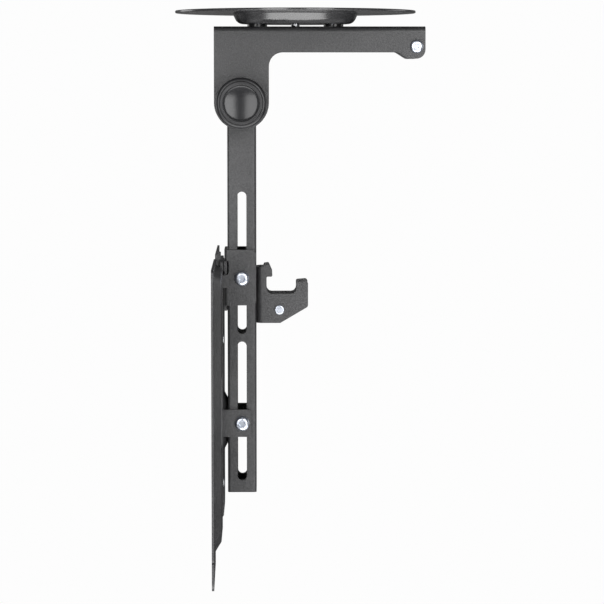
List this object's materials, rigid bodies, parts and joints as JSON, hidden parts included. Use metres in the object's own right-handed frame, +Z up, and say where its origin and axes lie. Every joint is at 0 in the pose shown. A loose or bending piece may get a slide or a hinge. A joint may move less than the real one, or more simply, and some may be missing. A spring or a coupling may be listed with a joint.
{
  "type": "tv ceiling mount",
  "caption": "Folding ceiling mount for a flat screen: dished round plate, swivelling arm, knob-clamped slotted pole with a hook and latch, and a height-sliding screen plate.",
  "frame": {"origin": "centre of the ceiling plate's top face, in the plane that meets the ceiling", "axes": "+Z up into the ceiling, +X along the arm from the pivot towards the latch bolt, Y across the arm with the knob on the -Y side; the screen faces -X with the pole hanging down"},
  "size_m": [0.176, 0.222, 0.3924],
  "materials": {
    "powder_coat": "satin, fine texture",
    "bright_screw": "bright nickel plate",
    "zinc_hardware": "zinc plate",
    "insert_brass": "turned",
    "moulded_plastic": "fine texture",
    "gloss_plastic": "polished",
    "claw_steel": "black plate",
    "spring_steel": "drawn wire"
  },
  "bodies": {
    "ceiling": {"ceiling_plate": "powder_coat", "swivel_bolt": "zinc_hardware", "swivel_washer": "zinc_hardware", "swivel_nut": "zinc_hardware"},
    "arm": {"arm_bracket": "powder_coat", "swivel_glides": "gloss_plastic", "lock_screws": "bright_screw", "lock_washers": "zinc_hardware", "lock_nuts": "zinc_hardware", "latch_bolt": "bright_screw", "latch_nut": "zinc_hardware", "pivot_bolt": "bright_screw", "knob_washer": "zinc_hardware"},
    "knob": {"knob_body": "moulded_plastic", "knob_insert": "insert_brass", "knob_cap": "gloss_plastic"},
    "folding_pole": {"pole": "powder_coat", "pole_plug": "moulded_plastic", "pivot_sleeve": "moulded_plastic", "pivot_rings": "moulded_plastic", "hook_bracket": "powder_coat", "hook_rivets": "zinc_hardware", "latch_rivet": "zinc_hardware", "latch_spacer": "moulded_plastic", "latch_spring": "spring_steel"},
    "claw": {"latch_claw": "claw_steel"},
    "carriage": {"upper_clamp": "powder_coat", "hanger_rail": "powder_coat", "rail_rivets": "zinc_hardware", "screen_plate": "powder_coat", "upper_screw": "bright_screw", "upper_washer": "zinc_hardware", "upper_nut": "zinc_hardware", "lower_screw": "bright_screw", "lower_washer": "zinc_hardware", "lower_nut": "zinc_hardware"}
  },
  "joints": [
    {"name": "swivel", "type": "hinge", "parent": "ceiling", "child": "arm", "pos_m": [0, 0, 0], "axis": [0, 0, 1], "range_deg": [-60, 60]},
    {"name": "fold", "type": "hinge", "parent": "arm", "child": "folding_pole", "pos_m": [-0.0381, 0, -0.0646], "axis": [0, -1, 0], "range_deg": [0, 96]},
    {"name": "knob_turn", "type": "hinge", "parent": "arm", "child": "knob", "pos_m": [-0.0381, 0, -0.0646], "axis": [0, -1, 0], "range_deg": [0, 360]},
    {"name": "latch", "type": "hinge", "parent": "folding_pole", "child": "claw", "pos_m": [-0.0115, 0, -0.2114], "axis": [0, -1, 0], "range_deg": [0, 20], "stiffness_Nm_per_rad": 0.05, "springref_deg": -20.05},
    {"name": "height", "type": "slide", "parent": "folding_pole", "child": "carriage", "axis": [0, 0, 1], "range_m": [-0.0365, 0.0549]}
  ]
}
